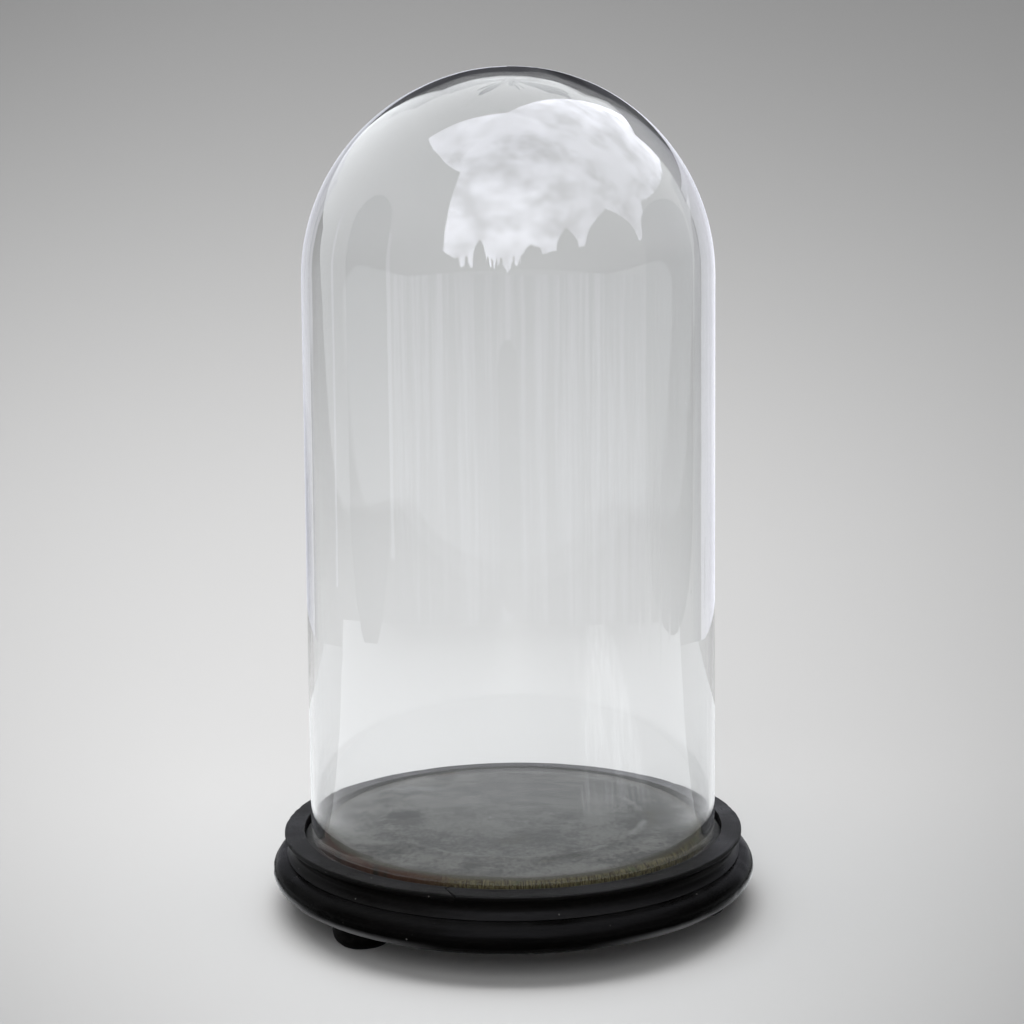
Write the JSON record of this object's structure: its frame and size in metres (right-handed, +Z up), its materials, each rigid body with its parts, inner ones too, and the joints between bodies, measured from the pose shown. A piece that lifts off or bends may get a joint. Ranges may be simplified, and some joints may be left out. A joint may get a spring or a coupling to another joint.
{
  "type": "bell jar dome",
  "caption": "Tall glass display dome that lifts off a round ebonised wooden base with a grooved rim, a cloth-covered platform and bun feet.",
  "frame": {"origin": "on the dome's axis, on the surface that the three feet stand on", "axes": "+Z up along the dome's axis, +X to the right and -Y towards the viewer at the front"},
  "size_m": [0.3014, 0.3014, 0.5131],
  "materials": {
    "glass": "clear blown glass, slightly uneven",
    "ebonised_ring": "ebonised, worn semi-gloss",
    "ebonised_board": "ebonised, semi-gloss",
    "ebonised_feet": "ebonised, satin",
    "platform_wood": "bare, unfinished",
    "velvet": "aged grey cotton velvet",
    "felt": "dark red wool felt",
    "screws": "dull steel"
  },
  "bodies": {
    "base": {"plinth_board": "ebonised_board", "rim_ring": "ebonised_ring", "platform_disc": "platform_wood", "platform_cloth": "velvet", "groove_felt": "felt", "foot_left": "ebonised_feet", "foot_right": "ebonised_feet", "foot_back": "ebonised_feet", "platform_screw_1": "screws", "platform_screw_2": "screws", "platform_screw_3": "screws", "platform_screw_4": "screws", "ring_screw_1": "screws", "ring_screw_2": "screws", "ring_screw_3": "screws", "ring_screw_4": "screws", "ring_screw_5": "screws", "ring_screw_6": "screws"},
    "dome": {"glass_dome": "glass"}
  },
  "joints": [
    {"name": "dome_lift", "type": "slide", "parent": "base", "child": "dome", "axis": [0, 0, 1], "range_m": [0, 0.48]}
  ]
}
